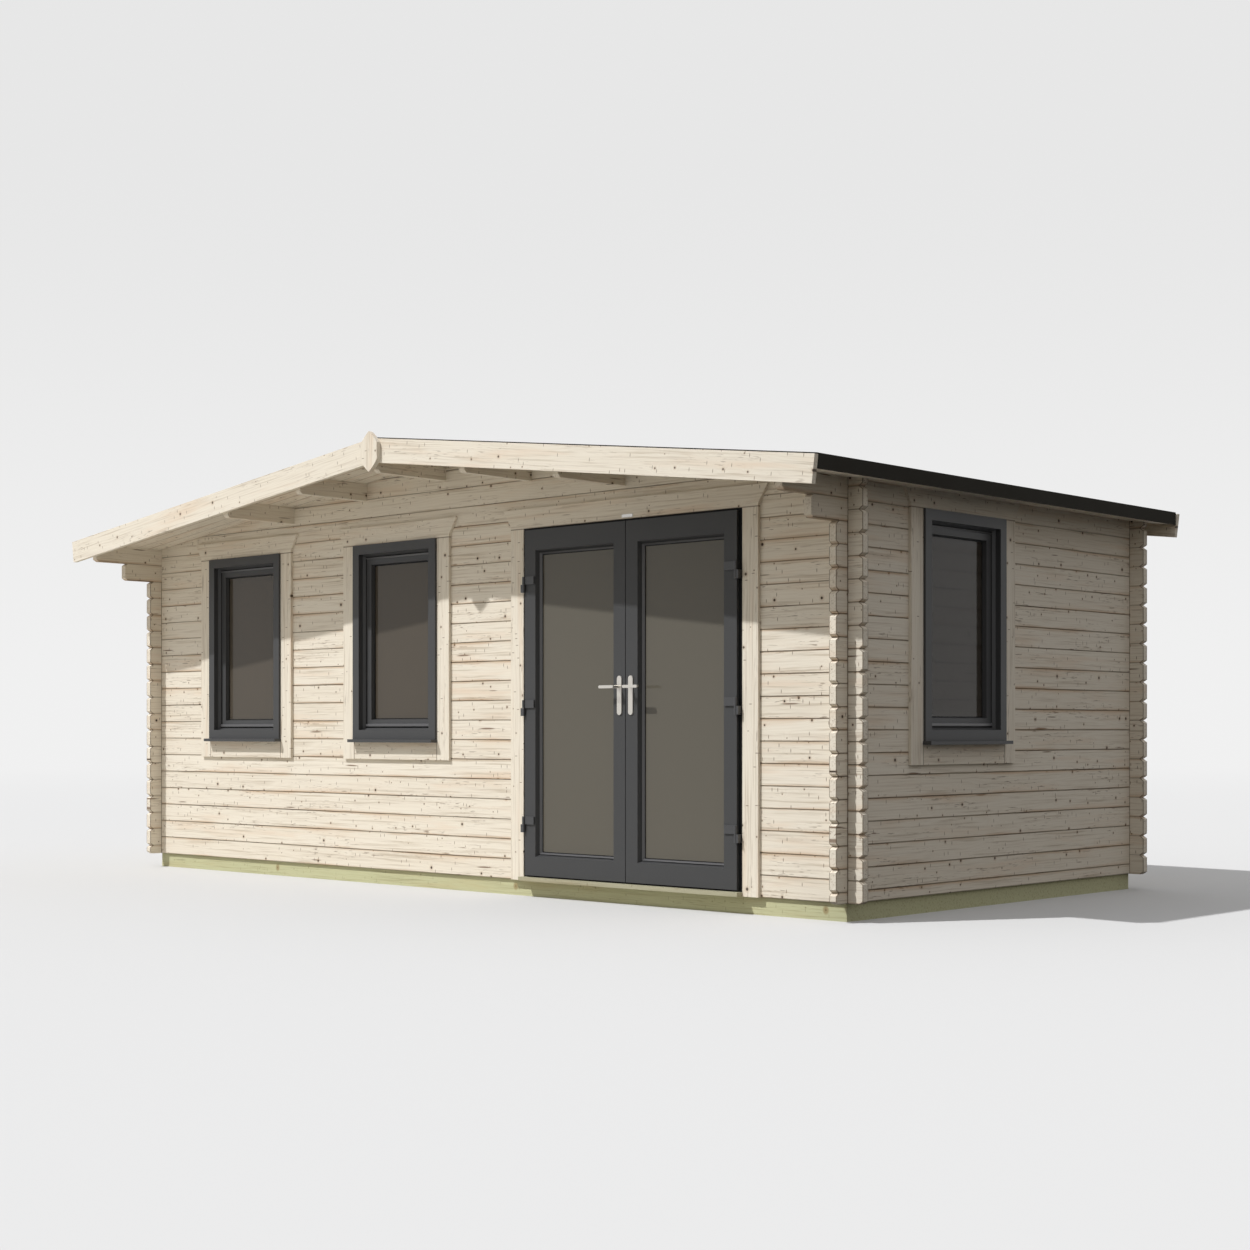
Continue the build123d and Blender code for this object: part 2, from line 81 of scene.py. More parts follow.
class Wires:
    # Adds nodes to one tree and joins them in the same call.
    def __init__(self, tree):
        self.tree = tree

    def node(self, kind, **settings):
        made = self.tree.nodes.new("ShaderNode" + kind)
        for name, value in settings.items():
            setattr(made, name, value)
        return made

    def put(self, target, value):
        if isinstance(value, bpy.types.NodeSocket):
            self.tree.links.new(value, target)
        else:
            target.default_value = value

    def math(self, operation, *values, clamp=False):
        made = self.node("Math", operation=operation, use_clamp=clamp)
        for place, value in enumerate(values):
            self.put(made.inputs[place], value)
        return made.outputs[0]

    def combine(self, *values):
        made = self.node("CombineXYZ")
        for place, value in enumerate(values):
            self.put(made.inputs[place], value)
        return made.outputs[0]

    def stretch(self, places, factors, last=None):
        # Scales each place by its factor, with a fixed last value where the pattern is flat.
        parts = [self.math("MULTIPLY", place, factor) for place, factor in zip(places, factors)]
        return self.combine(*parts) if last is None else self.combine(*parts, last)

    def split(self, vector):
        made = self.node("SeparateXYZ")
        self.put(made.inputs[0], vector)
        return made.outputs[0], made.outputs[1], made.outputs[2]

    def noise(self, vector, detail=2.0, roughness=0.5, scale=1.0):
        made = self.node("TexNoise")
        for name, value in (("Vector", vector), ("Scale", scale), ("Detail", detail),
                            ("Roughness", roughness)):
            self.put(made.inputs[name], value)
        return made.outputs["Fac"]

    def cells(self, vector, scale):
        made = self.node("TexVoronoi", voronoi_dimensions="2D")
        self.put(made.inputs["Vector"], vector)
        made.inputs["Scale"].default_value = scale
        parts = self.split(made.outputs["Color"])
        return self.math("DIVIDE", made.outputs["Distance"], scale), parts

    def ramp(self, value, low, high, start=0.0, end=1.0):
        made = self.node("MapRange", interpolation_type="SMOOTHSTEP")
        for name, amount in (("Value", value), ("From Min", low), ("From Max", high),
                             ("To Min", start), ("To Max", end)):
            self.put(made.inputs[name], amount)
        return made.outputs["Result"]

    def mix(self, factor, first, second, blend="MIX"):
        made = self.node("Mix", data_type="RGBA", blend_type=blend)
        for place, value in ((0, factor), (6, first), (7, second)):
            self.put(made.inputs[place], value)
        return made.outputs[2]

    def random(self, value):
        made = self.node("TexWhiteNoise", noise_dimensions="1D")
        self.put(made.inputs["W"], value)
        return made.outputs["Value"]


def linked(item):
    bpy.context.scene.collection.objects.link(item)
    return item


def buildCamera(look):
    size = look["frameSize"]
    data = bpy.data.cameras.new("photoCamera")
    data.sensor_width = look["sensor"]
    data.lens = look["sensor"] * look["focalPixels"] / size
    data.shift_y = (look["horizonPixel"] - size / 2) / size
    data.clip_end = look["farthest"]
    camera = linked(bpy.data.objects.new("photoCamera", data))
    camera.location = look["place"]
    camera.rotation_euler = (math.radians(90), 0, math.radians(look["turnLeft"]))
    bpy.context.scene.camera = camera


def seenRay(w):
    path = w.node("LightPath")
    seen = w.math("MAXIMUM", path.outputs["Is Camera Ray"], path.outputs["Is Glossy Ray"])
    return w.math("MAXIMUM", seen, path.outputs["Is Transmission Ray"])


def buildLight(look):
    # Seen rays find a pale backdrop, and the others find a sky that is brighter from the left.
    lamp = bpy.data.lights.new("sun", "SUN")
    lamp.energy = look["sunStrength"]
    lamp.angle = math.radians(look["sunAngle"])
    sun = linked(bpy.data.objects.new("sun", lamp))
    sun.rotation_euler = Vector(look["sunDirection"]).to_track_quat("-Z", "Y").to_euler()

    world = bpy.data.worlds.new("studio")
    bpy.context.scene.world = world
    world.use_nodes = True
    world.node_tree.nodes.clear()
    w = Wires(world.node_tree)
    aside, _, height = w.split(w.node("TexCoord").outputs["Generated"])
    backdrop = w.node("Background")
    w.put(backdrop.inputs["Color"], w.ramp(height, 0.0, look["backdropFade"],
                                           look["backdropHorizon"], look["backdropTop"]))
    sky = w.node("Background")
    around = w.mix(w.ramp(aside, *look["skyTurn"]), opaque(look["skyLeft"]),
                   opaque(look["skyRight"]))
    w.put(sky.inputs["Color"], w.mix(w.ramp(height, *look["skyRise"]), around,
                                     opaque(look["skyOverhead"])))
    mixed = w.node("MixShader")
    w.put(mixed.inputs[0], seenRay(w))
    w.put(mixed.inputs[1], sky.outputs[0])
    w.put(mixed.inputs[2], backdrop.outputs[0])
    w.put(w.node("OutputWorld").inputs["Surface"], mixed.outputs[0])


def buildFloor(look):
    # Seen pale and shadowed near the cabin, it runs into the backdrop's own tone further out.
    # Unseen rays find it nearly black right of the cabin, which shades that wall as photographed.
    reach = look["floorReach"]
    mesh = bpy.data.meshes.new("studioFloor")
    mesh.from_pydata([(-reach, -reach, 0), (reach, -reach, 0), (reach, reach, 0),
                      (-reach, reach, 0)], [], [(0, 1, 2, 3)])
    floor = linked(bpy.data.objects.new("studioFloor", mesh))
    material = bpy.data.materials.new("paleFloor")
    material.use_nodes = True
    w = Wires(material.node_tree)
    shader = material.node_tree.nodes["Principled BSDF"]
    seen = seenRay(w)
    place = w.node("TexCoord").outputs["Object"]
    bounce = w.mix(w.ramp(w.split(place)[0], *look["bounceEdge"]), opaque(look["bounceFront"]),
                   opaque(look["bounceRight"]))
    w.put(shader.inputs["Base Color"], w.mix(seen, bounce, grey(look["floorColor"])))
    shader.inputs["Roughness"].default_value = 1.0
    shader.inputs["Specular IOR Level"].default_value = 0.0
    away = w.node("VectorMath", operation="LENGTH")
    w.put(away.inputs[0], place)
    far = w.ramp(away.outputs["Value"], look["floorFadeStart"], look["floorFadeEnd"])
    glow = w.node("Emission")
    glow.inputs["Color"].default_value = grey(look["backdropHorizon"])
    mixed = w.node("MixShader")
    w.put(mixed.inputs[0], w.math("MULTIPLY", far, seen))
    w.put(mixed.inputs[1], shader.outputs[0])
    w.put(mixed.inputs[2], glow.outputs[0])
    w.put(material.node_tree.nodes["Material Output"].inputs["Surface"], mixed.outputs[0])
    mesh.materials.append(material)


bpy.context.scene.view_settings.view_transform = "Standard"
buildCamera(cameraView)
buildLight(studioLook)
buildFloor(studioLook)
print("camera, light and floor built")

# Sizes read from the frame
logHeight = 0.114
logThickness = 0.044
wallLow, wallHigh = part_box("front_wall")
longReach = wallHigh.x
frontFace = wallLow.y
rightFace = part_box("right_wall")[1].x
wallFoot = wallLow.z
backFace = -frontFace
logEnd = 0.092                     # how far a log runs past the wall that crosses it
noLimit = 9.0                      # further than anything on the cabin

# Softwood, as one shared group that every wood material uses with its own values
softwood = {
    "pale": (0.80, 0.745, 0.645),
    "honey": (0.60, 0.515, 0.40),
    "blush": (0.72, 0.57, 0.43),
    "knot": (0.040, 0.026, 0.018),
    "halo": (0.46, 0.32, 0.20),
    "streak": (0.19, 0.125, 0.08),
    "grain": (0.44, 0.36, 0.265),
    "bandBrown": (0.50, 0.33, 0.19),
    # The seam colour is used for dark joints and for the painted shade along joints, log edges and
    # trim joints
    "seam": (0.16, 0.115, 0.075),
    "toneWarmth": 0.26,
    "ringWarmth": 0.13,
    "fibreWarmth": 0.34,
    "wander": 0.012,
    "chanceSeed": 7.31,
    "toneSeed": 31.7,
    "acrossShift": 9.0,
    "alongShift": 23.0,
    "wanderScale": (4.0, 9.0),
    "knotScale": 7.4,              # cells per metre
    "knotSkip": 0.34,              # the share of cells without a knot
    "knotSmall": 0.0024,
    "knotSpread": 0.0062,
    "knotStrength": 0.96,
    "heartRange": (0.75, 1.25),    # in knot sizes
    "haloRange": (0.9, 3.0),
    "haloStrength": 0.40,
    "bendReach": 0.045,
    "bendStrength": 2.0,
    "tickScale": 6.0,
    "tickSqueeze": 4.5,
    "tickRange": (0.006, 0.014),
    "tickSkip": 0.55,
    "tickStrength": 0.85,
    "streakScale": 8.5,
    "streakStretch": 0.075,
    "streakSkip": 0.45,
    "streakSmall": 0.0018,
    "streakSpread": 0.0035,
    "streakRange": (0.5, 1.3),
    "streakStrength": 0.92,
    "ringsPerMetre": 55.0,
    "ringsDeep": 40.0,
    "ringDrift": 12.0,
    "ringSharpness": 2.4,
    "driftScale": (0.8, 6.0),
    "fineNoise": {"detail": 3.0, "roughness": 0.6},
    "fibreScale": (8.0, 300.0, 300.0),
    "broadScale": (2.0, 85.0, 85.0),
    "broadRange": (0.48, 0.78),
    "broadStrength": 0.70,
    "patchNoise": {"detail": 3.0, "roughness": 0.55},
    "patchScale": (1.1, 11.0),
    "patchRange": (0.50, 0.76),
    "patchStrength": 0.6,
    "fleckScale": (14.0, 150.0, 60.0),
    "fleckRange": (0.58, 0.70),
    "fleckStrength": 0.78,
    "fleckAreaScale": (1.7, 14.0),
    "fleckAreaRange": (0.47, 0.66),
    "seamRange": (0.5, 1.8),       # in seam widths
    "jointBandReach": (1.0, 8.0),
    "jointBandStrength": 0.55,
    "jointBandRange": (0.44, 0.62),
    "seamStrength": (0.50, 0.88),
    "roughness": 0.56,
    "roughnessSpread": 0.2,
    "ringRelief": 0.25,
    "fibreRelief": 0.7,
    "knotRelief": 0.6,
}


def startGroup(name, inputs, outputs):
    tree = bpy.data.node_groups.new(name, "ShaderNodeTree")
    for label, kind, value in inputs:
        socket = tree.interface.new_socket(name=label, in_out="INPUT",
                                           socket_type="NodeSocket" + kind)
        if value is not None:
            socket.default_value = value
    for label, kind in outputs:
        tree.interface.new_socket(name=label, in_out="OUTPUT", socket_type="NodeSocket" + kind)
    return tree, tree.nodes.new("NodeGroupInput").outputs, tree.nodes.new("NodeGroupOutput").inputs


def buildSoftwood(look):
    # Reads metres, with the grain along x and the board's height along z.
    tree, given, made = startGroup("softwoodGrain", (
        ("Vector", "Vector", None), ("Pitch", "Float", logHeight), ("Start", "Float", 0.0),
        ("Seam", "Float", 0.003), ("Knots", "Float", 1.0), ("Streaks", "Float", 1.0),
    ), (("Color", "Color"), ("Roughness", "Float"), ("Height", "Float")))
    w = Wires(tree)
    along, depth, up = w.split(given["Vector"])

    # Each board has its own stretch of grain and its own tone
    place = w.math("DIVIDE", w.math("SUBTRACT", up, given["Start"]), given["Pitch"])
    index = w.math("FLOOR", place)
    chance = w.random(w.math("ADD", index, look["chanceSeed"]))
    tone = w.random(w.math("ADD", index, look["toneSeed"]))
    across = w.math("ADD", up, w.math("MULTIPLY", chance, look["acrossShift"]))
    along = w.math("ADD", along, w.math("MULTIPLY", tone, look["alongShift"]))
    wander = w.noise(w.stretch((along, across), look["wanderScale"], 1.7))
    wander = w.math("MULTIPLY", w.math("SUBTRACT", wander, 0.5), look["wander"])

    # Knots lie in a loose grid of cells, and only some cells hold one
    away, luck = w.cells(w.combine(along, across, 0.0), look["knotScale"])
    present = w.math("MULTIPLY", w.math("GREATER_THAN", luck[0], look["knotSkip"]),
                     given["Knots"])
    size = w.math("MULTIPLY", luck[1], luck[1])
    size = w.math("MULTIPLY_ADD", size, look["knotSpread"], look["knotSmall"])
    reach = w.math("DIVIDE", away, size)
    heart = w.math("MULTIPLY", w.ramp(reach, *look["heartRange"], 1.0, 0.0), present)
    halo = w.math("MULTIPLY", w.ramp(reach, *look["haloRange"], 1.0, 0.0), present)
    bend = w.math("MULTIPLY", w.ramp(away, 0.0, look["bendReach"], 1.0, 0.0), present)

    # Short upright ticks, and long thin pitch streaks along the grain
    squeezed = w.combine(w.math("MULTIPLY", along, look["tickSqueeze"]), across, 0.0)
    tickAway, tickLuck = w.cells(squeezed, look["tickScale"])
    tick = w.math("MULTIPLY", w.ramp(tickAway, *look["tickRange"], 1.0, 0.0),
                  w.math("GREATER_THAN", tickLuck[0], look["tickSkip"]))
    wavy = w.math("ADD", across, wander)
    drawn = w.combine(w.math("MULTIPLY", along, look["streakStretch"]), wavy, 0.0)
    streakAway, streakLuck = w.cells(drawn, look["streakScale"])
    streakSize = w.math("MULTIPLY_ADD", streakLuck[1], look["streakSpread"], look["streakSmall"])
    streak = w.ramp(w.math("DIVIDE", streakAway, streakSize), *look["streakRange"], 1.0, 0.0)
    streak = w.math("MULTIPLY", streak,
                    w.math("GREATER_THAN", streakLuck[0], look["streakSkip"]))
    streak = w.math("MULTIPLY", streak, given["Streaks"])

    # Growth rings as long bands that part round the knots
    drift = w.noise(w.stretch((along, across), look["driftScale"], 0.0))
    drift = w.math("MULTIPLY", drift, look["ringDrift"])
    ring = w.math("MULTIPLY_ADD", across, look["ringsPerMetre"], drift)
    bend = w.math("MULTIPLY", bend, look["bendStrength"])
    ring = w.math("ADD", ring, w.math("MULTIPLY_ADD", depth, look["ringsDeep"], bend))
    rings = w.math("ABSOLUTE", w.math("SINE", w.math("MULTIPLY", ring, math.pi)))
    rings = w.math("POWER", rings, look["ringSharpness"])
    fibre = w.noise(w.stretch((along, across, depth), look["fibreScale"]), **look["fineNoise"])
    broad = w.noise(w.stretch((along, wavy, depth), look["broadScale"]), **look["fineNoise"])
    patches = w.noise(w.stretch((along, across), look["patchScale"], 2.0), **look["patchNoise"])
    flecks = w.noise(w.stretch((along, across, depth), look["fleckScale"]))
    fleckArea = w.noise(w.stretch((along, across), look["fleckAreaScale"], 5.0))
    fleckArea = w.ramp(fleckArea, *look["fleckAreaRange"])
    fleck = w.math("MULTIPLY", w.ramp(flecks, *look["fleckRange"]), fleckArea)

    # Colours, from the broadest tone to the darkest mark
    warm = w.math("MULTIPLY", tone, look["toneWarmth"])
    warm = w.math("MULTIPLY_ADD", rings, look["ringWarmth"], warm)
    fine = w.math("MULTIPLY", w.math("SUBTRACT", fibre, 0.5), look["fibreWarmth"])
    warm = w.math("ADD", warm, fine, clamp=True)
    color = w.mix(warm, opaque(look["pale"]), opaque(look["honey"]))
    blush = w.ramp(patches, *look["patchRange"], 0.0, look["patchStrength"])
    band = w.ramp(broad, *look["broadRange"], 0.0, look["broadStrength"])
    fleck = w.math("MULTIPLY", fleck, w.math("MULTIPLY", given["Streaks"], look["fleckStrength"]))
    tick = w.math("MULTIPLY", tick, w.math("MULTIPLY", given["Knots"], look["tickStrength"]))
    for strength, shade in ((blush, "blush"), (band, "grain"), (fleck, "streak"),
                            (w.math("MULTIPLY", streak, look["streakStrength"]), "streak"),
                            (tick, "streak"),
                            (w.math("MULTIPLY", halo, look["haloStrength"]), "halo"),
                            (w.math("MULTIPLY", heart, look["knotStrength"]), "knot")):
        color = w.mix(strength, color, opaque(look[shade]))

    # The joint between two boards, measured in metres from its middle, where a dark joint carries
    # painted shade from its groove
    fraction = w.math("SUBTRACT", w.math("FRACT", w.math("ADD", place, 0.5)), 0.5)
    joint = w.math("MULTIPLY", w.math("ABSOLUTE", fraction), given["Pitch"])
    fromJoint = w.math("DIVIDE", joint, given["Seam"])
    # Painted shade: a narrow dark line along each joint, in the seam colour
    seamShade = w.ramp(fromJoint, *look["seamRange"], 1.0, 0.0)
    seamShade = w.math("MULTIPLY", seamShade, w.ramp(fleckArea, 0.0, 1.0, *look["seamStrength"]))
    # A brown band along each joint, strongest at the joint and gone a few seam widths away, showing
    # in patches
    jointBand = w.ramp(fromJoint, *look["jointBandReach"], look["jointBandStrength"], 0.0)
    jointBand = w.math("MULTIPLY", jointBand, w.ramp(patches, *look["jointBandRange"]))
    color = w.mix(jointBand, color, opaque(look["bandBrown"]))
    w.put(made["Color"], w.mix(seamShade, color, opaque(look["seam"])))
    w.put(made["Roughness"], w.math("MULTIPLY_ADD", fibre, look["roughnessSpread"],
                                    look["roughness"]))
    relief = w.math("MULTIPLY", fibre, look["fibreRelief"])
    relief = w.math("MULTIPLY_ADD", rings, look["ringRelief"], relief)
    w.put(made["Height"], w.math("SUBTRACT", relief, w.math("MULTIPLY", heart, look["knotRelief"])))
    return tree


# Painted shade: sizes for the dark lines along the log ends' chamfers and where two walls cross
logEdgeShade = {
    "cornerAlong": 0.022,          # the corner cut off each log end
    "cornerUp": 0.015,
    "cornerSlant": 0.0124,         # turns the corner's own measure back into metres
    "line": 0.0038,
}


def buildLogEdgeShade(look):
    # Paints shade as dark lines along the edges of the chamfered log ends, and along the lines
    # where two walls cross.
    tree, given, made = startGroup("logEdgeShade", (
        ("Vector", "Vector", None), ("Reach", "Float", 3.0), ("Start", "Float", 0.0),
        ("Face", "Float", 1.4), ("Cross", "Float", 3.0), ("Top", "Float", noLimit),
        ("Line", "Float", look["line"]),
    ), (("Mask", "Float"),))
    w = Wires(tree)
    along, depth, up = w.split(given["Vector"])
    along = w.math("ABSOLUTE", along)
    depth = w.math("ABSOLUTE", depth)
    place = w.math("DIVIDE", w.math("SUBTRACT", up, given["Start"]), logHeight)
    fraction = w.math("ABSOLUTE", w.math("SUBTRACT", w.math("FRACT", place), 0.5))
    fromSeam = w.math("MULTIPLY", w.math("SUBTRACT", 0.5, fraction), logHeight)
    fromEnd = w.math("SUBTRACT", given["Reach"], along)
    slant = w.math("ADD", w.math("DIVIDE", fromEnd, look["cornerAlong"]),
                   w.math("DIVIDE", fromSeam, look["cornerUp"]))
    slant = w.math("MULTIPLY", w.math("SUBTRACT", slant, 1.0), look["cornerSlant"])
    outline = w.math("MINIMUM", fromEnd, slant)
    outer = w.math("ABSOLUTE", w.math("SUBTRACT", depth, given["Face"]))
    innerFace = w.math("SUBTRACT", given["Face"], logThickness)
    inner = w.math("ABSOLUTE", w.math("SUBTRACT", depth, innerFace))
    edge = w.math("MAXIMUM", outline, w.math("MINIMUM", outer, inner))
    crossing = w.math("ABSOLUTE", w.math("SUBTRACT", along, given["Cross"]))
    line = w.math("MINIMUM", edge, crossing)
    mask = w.ramp(w.math("DIVIDE", line, given["Line"]), 0.5, 1.4, 1.0, 0.0)
    w.put(made["Mask"], w.math("MULTIPLY", mask, w.math("LESS_THAN", up, given["Top"])))
    return tree


softwoodTree = buildSoftwood(softwood)
logEdgeShadeTree = buildLogEdgeShade(logEdgeShade)


def freshMaterial(name):
    material = bpy.data.materials.new(name)
    material.use_nodes = True
    w = Wires(material.node_tree)
    return material, material.node_tree.nodes["Principled BSDF"], w


def useGroup(w, tree, vector, **values):
    made = w.node("Group", node_tree=tree)
    w.put(made.inputs["Vector"], vector)
    for name, value in values.items():
        made.inputs[name].default_value = value
    return made.outputs


def turned(w, vector, degrees):
    made = w.node("Mapping")
    w.put(made.inputs["Vector"], vector)
    made.inputs["Rotation"].default_value = [math.radians(angle) for angle in degrees]
    return made.outputs["Vector"]


# How far the wood is turned to bring its grain onto x, in degrees
grainTurns = {"x": (0, 0, 0), "y": (0, 0, -90), "z": (0, 90, 0), "flat": (-90, 0, 0)}
# For pieces that are one plank: a wide pitch, whose hairline joints hardly show
oneBoard = {"Pitch": 3.0, "Start": -1.3, "Seam": 0.0001, "Knots": 0.9, "Streaks": 0.7}
woodFinish = {
    "specular": 0.25,
    "reliefDepth": 0.0012,
    "boardRelief": 0.25,
    "logRelief": 0.3,
    "logSeam": 0.0024,
    "edgeShadeStrength": 0.8,
}


def addRelief(shader, w, height, strength, distance):
    relief = w.node("Bump")
    relief.inputs["Strength"].default_value = strength
    relief.inputs["Distance"].default_value = distance
    w.put(relief.inputs["Height"], height)
    w.put(shader.inputs["Normal"], relief.outputs["Normal"])


def finishWood(shader, w, color, grain, bump):
    w.put(shader.inputs["Base Color"], color)
    w.put(shader.inputs["Roughness"], grain["Roughness"])
    shader.inputs["Specular IOR Level"].default_value = woodFinish["specular"]
    addRelief(shader, w, grain["Height"], bump, woodFinish["reliefDepth"])


def boardMaterial(name, direction, tint=None, **values):
    material, shader, w = freshMaterial(name)
    coords = w.node("TexCoord").outputs["Object"]
    grain = useGroup(w, softwoodTree, turned(w, coords, grainTurns[direction]),
                     **{**oneBoard, **values})
    color = grain["Color"]
    if tint is not None:
        color = w.mix(1.0, color, opaque(tint), "MULTIPLY")
    finishWood(shader, w, color, grain, woodFinish["boardRelief"])
    return material


def logMaterial(name, direction, start, reach, face, cross, top):
    material, shader, w = freshMaterial(name)
    coords = turned(w, w.node("TexCoord").outputs["Object"], grainTurns[direction])
    grain = useGroup(w, softwoodTree, coords, Pitch=logHeight, Start=start,
                     Seam=woodFinish["logSeam"])
    edges = useGroup(w, logEdgeShadeTree, coords, Reach=reach, Start=start, Face=face, Cross=cross,
                     Top=top)
    # Painted shade along the log ends' edges and the wall crossings, in the seam colour
    dark = w.math("MULTIPLY", edges["Mask"], woodFinish["edgeShadeStrength"])
    color = w.mix(dark, grain["Color"], opaque(softwood["seam"]))
    finishWood(shader, w, color, grain, woodFinish["logRelief"])
    return material


sideShift = 3.7                    # gives the two slopes of the roof different grain


def vergeMaterial(name, slope):
    # Follows the two slopes of the roof, with the grain along each board.
    material, shader, w = freshMaterial(name)
    x, y, z = w.split(w.node("TexCoord").outputs["Object"])
    side = w.math("ABSOLUTE", x)
    run = w.math("SUBTRACT", w.math("MULTIPLY", side, math.cos(slope)),
                 w.math("MULTIPLY", z, math.sin(slope)))
    rise = w.math("ADD", w.math("MULTIPLY", side, math.sin(slope)),
                  w.math("MULTIPLY", z, math.cos(slope)))
    shifted = w.math("MULTIPLY_ADD", w.math("SIGN", x), sideShift, run)
    grain = useGroup(w, softwoodTree, w.combine(shifted, y, rise), **oneBoard)
    finishWood(shader, w, grain["Color"], grain, woodFinish["boardRelief"])
    return material


trimJointShade = {"start": 0.0015, "end": 0.0045, "strength": 0.75, "uprightShift": 4.0}


def trimMaterial(name, direction, centre, half, bottom, top, look):
    # Upright grain in the side boards, and level grain in the head and bottom boards, with painted
    # shade as dark lines where the boards meet.
    material, shader, w = freshMaterial(name)
    coords = turned(w, w.node("TexCoord").outputs["Object"], grainTurns[direction])
    along, depth, up = w.split(coords)
    side = w.math("ABSOLUTE", w.math("SUBTRACT", along, centre))
    head = w.math("GREATER_THAN", up, top)
    inside = w.math("MULTIPLY", w.math("LESS_THAN", side, half), w.math("LESS_THAN", up, bottom))
    level = w.math("MAXIMUM", head, inside)
    aside = w.math("ADD", along, look["uprightShift"])
    upright = useGroup(w, softwoodTree, w.combine(up, depth, aside), **oneBoard)
    flat = useGroup(w, softwoodTree, coords, **oneBoard)
    headLine = w.math("ABSOLUTE", w.math("SUBTRACT", up, top))
    sideLine = w.math("ABSOLUTE", w.math("SUBTRACT", side, half))
    above = w.math("MULTIPLY", w.math("GREATER_THAN", up, bottom), noLimit)
    sideLine = w.math("ADD", sideLine, above)
    # Painted shade: a dark line along the joints between the head, side and bottom boards
    joint = w.ramp(w.math("MINIMUM", headLine, sideLine), look["start"], look["end"],
                   look["strength"], 0.0)
    color = w.mix(level, upright["Color"], flat["Color"])
    color = w.mix(joint, color, opaque(softwood["seam"]))
    finishWood(shader, w, color, upright, woodFinish["boardRelief"])
    return material


bearerLook = {
    "grain": {"Start": -2.0, "Knots": 0.4, "Streaks": 0.35},
    "tint": (0.68, 0.74, 0.54),
    "knotPlaces": (-1.638, 0.600, 2.826),      # along the front
    "knotHeight": 0.051,
    "knotSquash": 1.2,
    "knotRing": (0.30, 0.22, 0.10),
    "ringReach": (0.012, 0.030),
    "ringStrength": 0.75,
    "knotHeart": (0.12, 0.08, 0.04),
    "heartReach": (0.002, 0.010),
    "heartStrength": 0.6,
}


def bearerMaterial(name, look):
    # Pressure treated wood, with the large knots that show in the front bearer.
    material, shader, w = freshMaterial(name)
    coords = w.node("TexCoord").outputs["Object"]
    grain = useGroup(w, softwoodTree, coords, **{**oneBoard, **look["grain"]})
    x, _, z = w.split(coords)
    color = w.mix(1.0, grain["Color"], opaque(look["tint"]), "MULTIPLY")
    rise = w.math("SUBTRACT", z, look["knotHeight"])
    nearest = noLimit
    for place in look["knotPlaces"]:
        run = w.math("MULTIPLY", w.math("SUBTRACT", x, place), look["knotSquash"])
        away = w.math("SQRT", w.math("ADD", w.math("MULTIPLY", run, run),
                                     w.math("MULTIPLY", rise, rise)))
        nearest = w.math("MINIMUM", away, nearest)
    ring = w.ramp(nearest, *look["ringReach"], look["ringStrength"], 0.0)
    heart = w.ramp(nearest, *look["heartReach"], look["heartStrength"], 0.0)
    color = w.mix(ring, color, opaque(look["knotRing"]))
    color = w.mix(heart, color, opaque(look["knotHeart"]))
    finishWood(shader, w, color, grain, woodFinish["logRelief"])
    return material


plainFinish = {
    "fineNoise": {"detail": 3.0, "roughness": 0.6},
    "driftNoise": {"detail": 3.0, "roughness": 0.5, "scale": 3.0},
    "roughnessDrift": 0.14,
    "reliefDepth": 0.0006,
}


def plainMaterial(name, color, roughness, specular=0.5, metallic=0.0, speckle=0.0, grit=400.0,
                  bump=0.0):
    material, shader, w = freshMaterial(name)
    coords = w.node("TexCoord").outputs["Object"]
    fine = w.noise(coords, scale=grit, **plainFinish["fineNoise"])
    soft = w.noise(coords, **plainFinish["driftNoise"])
    if speckle:
        dark = tuple(part * (1 - speckle) for part in color)
        light = tuple(min(1.0, part * (1 + speckle)) for part in color)
        w.put(shader.inputs["Base Color"], w.mix(fine, opaque(dark), opaque(light)))
    else:
        shader.inputs["Base Color"].default_value = opaque(color)
    drift = plainFinish["roughnessDrift"]
    w.put(shader.inputs["Roughness"], w.math("MULTIPLY_ADD", soft, drift, roughness - drift / 2))
    shader.inputs["Specular IOR Level"].default_value = specular
    shader.inputs["Metallic"].default_value = metallic
    if bump:
        addRelief(shader, w, fine, bump, plainFinish["reliefDepth"])
    return material


glassLook = {
    "roughness": 0.08,
    "specular": 0.35,
    "farWallTint": (0.088, 0.082, 0.078),
    "farWallPitch": 0.098,         # a log of the far wall, as it shows on the pane
    "farWallStart": 0.030,
    "farWallSeam": 0.0034,
}


def glassMaterial(name, color, alpha, look, farWall=False):
    # Faint dark lines stand for the joints of the room's far wall, seen in the side window.
    material, shader, w = freshMaterial(name)
    if farWall:
        coords = w.node("TexCoord").outputs["Object"]
        grain = useGroup(w, softwoodTree, turned(w, coords, grainTurns["y"]),
                         Pitch=look["farWallPitch"], Start=look["farWallStart"],
                         Seam=look["farWallSeam"])
        faint = w.mix(1.0, grain["Color"], opaque(look["farWallTint"]), "MULTIPLY")
        onSide = w.math("GREATER_THAN", w.split(coords)[0], rightFace - logHeight)
        w.put(shader.inputs["Base Color"], w.mix(onSide, opaque(color), faint))
    else:
        shader.inputs["Base Color"].default_value = opaque(color)
    shader.inputs["Roughness"].default_value = look["roughness"]
    shader.inputs["Specular IOR Level"].default_value = look["specular"]
    shader.inputs["Alpha"].default_value = alpha
    return material


roofSlope = math.radians(7.0)
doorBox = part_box("door_frame")
doorCentre = (doorBox[0].x + doorBox[1].x) / 2
doorHalf = (doorBox[1].x - doorBox[0].x) / 2
corbelFoot = wallHigh.z - 1.5 * logHeight      # the logs above this run further forward
cillThickness = 0.018

